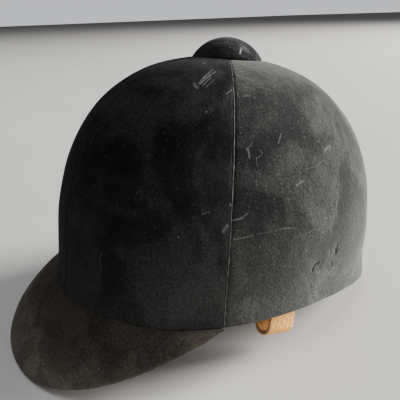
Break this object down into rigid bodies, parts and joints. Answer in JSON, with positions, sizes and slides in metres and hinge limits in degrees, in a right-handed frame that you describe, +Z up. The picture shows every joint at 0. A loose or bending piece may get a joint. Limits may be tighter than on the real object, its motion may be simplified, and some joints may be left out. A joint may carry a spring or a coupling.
{
  "type": "velvet riding hat",
  "caption": "Velvet-covered riding hat with a sloping peak, a crown button, a padded lining, and a leather chin strap with a buckle, folded up inside the crown.",
  "frame": {"origin": "centre of the standing hat's box, on the ground plane", "axes": "+Z up, -Y the front with the peak, +X the wearer's left"},
  "size_m": [0.2062, 0.2886, 0.1967],
  "materials": {
    "velvet": "worn black cotton velvet with dust in the pile",
    "shell_resin": "resin-bonded fabric shell, plain",
    "board": "stiff fibre board",
    "wood": "turned wood",
    "cork": "pressed cork",
    "satin": "black quilted satin",
    "foam": "felted padding",
    "band_leather": "smooth sweatband leather",
    "strap_leather": "light tan leather with a pressed grain",
    "brass": "dull brass"
  },
  "bodies": {
    "hat": {"shell": "shell_resin", "velvet_front_left": "velvet", "velvet_front_right": "velvet", "velvet_rear_left": "velvet", "velvet_rear_right": "velvet", "peak_cover": "velvet", "peak_board": "board", "peak_lining": "satin", "button_cover": "velvet", "button_former": "wood", "button_stud": "brass", "stud_washer": "brass", "cork_liner": "cork", "crown_lining": "satin", "crown_pad": "foam", "sweatband": "band_leather", "forehead_pad": "foam", "nape_pad": "foam", "left_strap_tab": "strap_leather", "right_strap_tab": "strap_leather", "left_rivet": "brass", "right_rivet": "brass", "left_rivet_washer": "brass", "right_rivet_washer": "brass"},
    "left_strap": {"left_strap": "strap_leather"},
    "right_strap": {"right_strap": "strap_leather"},
    "buckle": {"buckle_frame": "brass", "buckle_bar": "brass"},
    "prong": {"buckle_prong": "brass"},
    "keeper": {"strap_keeper": "strap_leather"}
  },
  "joints": [
    {"name": "left_strap_fold", "type": "hinge", "parent": "hat", "child": "left_strap", "pos_m": [0.08267, 0.00281, 0.02091], "axis": [-0.1014, -0.965, 0.2419], "range_deg": [0, 140]},
    {"name": "right_strap_fold", "type": "hinge", "parent": "hat", "child": "right_strap", "pos_m": [-0.08267, 0.00281, 0.02091], "axis": [-0.1014, 0.965, -0.2419], "range_deg": [0, 140]},
    {"name": "buckle_pivot", "type": "hinge", "parent": "right_strap", "child": "buckle", "pos_m": [-0.06992, 0.0228, 0.09526], "axis": [-0.1014, 0.965, -0.2419], "range_deg": [-40, 35]},
    {"name": "prong_pivot", "type": "hinge", "parent": "buckle", "child": "prong", "pos_m": [-0.06992, 0.0228, 0.09526], "axis": [-0.1014, 0.965, -0.2419], "range_deg": [0, 90]},
    {"name": "keeper_slide", "type": "slide", "parent": "right_strap", "child": "keeper", "axis": [0.1306, 0.254, 0.9583], "range_m": [-0.018, 0.014]}
  ]
}
